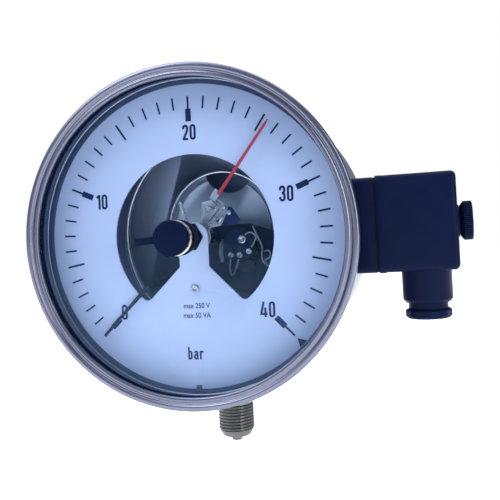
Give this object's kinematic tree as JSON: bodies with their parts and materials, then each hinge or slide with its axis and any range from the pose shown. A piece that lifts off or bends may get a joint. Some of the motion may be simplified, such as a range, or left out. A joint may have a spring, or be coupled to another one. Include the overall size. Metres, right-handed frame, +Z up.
{
  "type": "contact pressure gauge",
  "caption": "Round dial pressure gauge in a steel case with a built-in electrical limit contact, adjusting lock, side plug connector and bottom threaded stem.",
  "frame": {"origin": "centre of the threaded stem's end face", "axes": "+Z up the stem to the dial axis, the dial faces -Y, +X to the right seen from the front"},
  "size_m": [0.2196, 0.1235, 0.205],
  "materials": {
    "stainless": "satin stainless steel",
    "case_steel": "satin stainless steel sheet",
    "glass": "clear safety glass",
    "black_rubber": "matt black rubber",
    "dial_white": "matt white enamel with black print",
    "tube_alloy": "drawn stainless tube",
    "brass": "turned brass",
    "spring_steel": "bright spring steel",
    "grey_metal": "satin aluminium sheet",
    "red_enamel": "red lacquer",
    "black_enamel": "matt black lacquer",
    "black_plastic": "fine textured black moulding",
    "dark_moulding": "dark brown-black moulding",
    "steel_screw": "zinc plated steel",
    "contact_metal": "silver contact rivet",
    "wire_jacket": "grey insulated lead"
  },
  "bodies": {
    "case": {"case_shell": "case_steel", "window_glass": "glass", "window_gasket": "black_rubber", "rear_blowout_plug": "black_rubber", "baffle_wall": "case_steel", "dial_carrier": "case_steel", "dial": "dial_white", "process_stem": "stainless", "stem_seal": "black_rubber", "stem_screws": "steel_screw", "bourdon_tube": "tube_alloy", "movement_rear_plate": "brass", "movement_front_plate": "grey_metal", "movement_pillars": "brass", "movement_screws": "steel_screw", "hairspring": "spring_steel", "contact_bridge": "grey_metal", "bridge_screws": "steel_screw", "zero_stop": "grey_metal", "dial_screw": "steel_screw", "hub_clip": "spring_steel", "insulating_plate": "dark_moulding", "terminal_block": "dark_moulding", "terminal_screws": "steel_screw", "lead_wires": "wire_jacket", "cable_grommet": "black_rubber", "lock_bush": "black_plastic", "lock_seal": "black_rubber", "lock_nut": "steel_screw", "lock_spring": "spring_steel", "connector_base": "black_plastic", "base_nut": "brass", "base_screws": "steel_screw", "connector_pins": "contact_metal"},
    "bezel": {"bezel_ring": "stainless"},
    "tube_tip": {"tube_end_piece": "stainless"},
    "link": {"drive_link": "spring_steel"},
    "sector": {"sector_gear": "brass"},
    "pointer": {"pointer_shaft": "spring_steel", "hairspring_collet": "brass", "pointer_hub": "black_enamel", "pointer_blade": "black_enamel"},
    "set_pointer": {"set_hub": "brass", "set_plate": "grey_metal", "plate_screw": "steel_screw", "set_arm": "grey_metal", "set_blade": "red_enamel", "drive_pin": "steel_screw", "magnet_block": "dark_moulding", "fixed_contact": "contact_metal"},
    "contact": {"contact_arm": "spring_steel"},
    "lock_slider": {"lock_sleeve": "brass"},
    "lock_turner": {"lock_spindle": "steel_screw", "lock_key": "black_plastic"},
    "plug": {"connector_gasket": "black_rubber", "connector_housing": "black_plastic", "terminal_insert": "dark_moulding", "gland_seal": "black_rubber"},
    "plug_screw": {"thumb_screw": "black_plastic"},
    "gland": {"gland_nut": "black_plastic"}
  },
  "joints": [
    {"name": "bezel_turn", "type": "hinge", "parent": "case", "child": "bezel", "pos_m": [0, -0.076, 0.118], "axis": [0, 1, 0], "range_deg": [-25, 0]},
    {"name": "pointer_turn", "type": "hinge", "parent": "case", "child": "pointer", "pos_m": [0, -0.045, 0.118], "axis": [0, 1, 0], "range_deg": [0, 270]},
    {"name": "sector_turn", "type": "hinge", "parent": "case", "child": "sector", "pos_m": [0, -0.0066, 0.1012], "axis": [0, 1, 0], "range_deg": [-45.01, 0.01]},
    {"name": "tube_tip_travel", "type": "slide", "parent": "case", "child": "tube_tip", "axis": [0.4226, 0, 0.9063], "range_m": [-0.00001, 0.00672], "deforming": ["bourdon_tube"]},
    {"name": "link_swing", "type": "hinge", "parent": "tube_tip", "child": "link", "pos_m": [0.026, -0.0083, 0.109], "axis": [0, 1, 0], "range_deg": [-3.3, 0.01]},
    {"name": "set_pointer_turn", "type": "hinge", "parent": "case", "child": "set_pointer", "pos_m": [0, -0.057, 0.118], "axis": [0, 1, 0], "range_deg": [-171.7, 98.3]},
    {"name": "contact_swing", "type": "hinge", "parent": "set_pointer", "child": "contact", "pos_m": [0.0075, -0.0635, 0.1237], "axis": [0, 1, 0], "range_deg": [0, 3], "stiffness_Nm_per_rad": 0.002},
    {"name": "lock_push", "type": "slide", "parent": "case", "child": "lock_slider", "axis": [0, 1, 0], "range_m": [0, 0.003], "stiffness_N_per_m": 600, "springref_m": -0.001, "deforming": ["lock_spring"]},
    {"name": "key_turn", "type": "hinge", "parent": "lock_slider", "child": "lock_turner", "pos_m": [0, -0.09, 0.118], "axis": [0, 1, 0], "continuous": true},
    {"name": "plug_pull", "type": "slide", "parent": "case", "child": "plug", "axis": [0.9998, 0, 0.0192], "range_m": [0, 0.025]},
    {"name": "plug_screw_turn", "type": "hinge", "parent": "plug", "child": "plug_screw", "pos_m": [0.13297, -0.04, 0.12075], "axis": [0.9998, 0, 0.0192], "continuous": true},
    {"name": "gland_nut_turn", "type": "hinge", "parent": "plug", "child": "gland", "pos_m": [0.11299, -0.04, 0.07516], "axis": [-0.0192, 0, 0.9998], "continuous": true}
  ],
  "couplings": [
    {"joint": "sector_turn", "follows": "pointer_turn", "ratio": -0.16667},
    {"joint": "tube_tip_travel", "follows": "pointer_turn", "m_per_rad": 0.0014237},
    {"joint": "link_swing", "follows": "pointer_turn", "ratio": -0.012184}
  ]
}
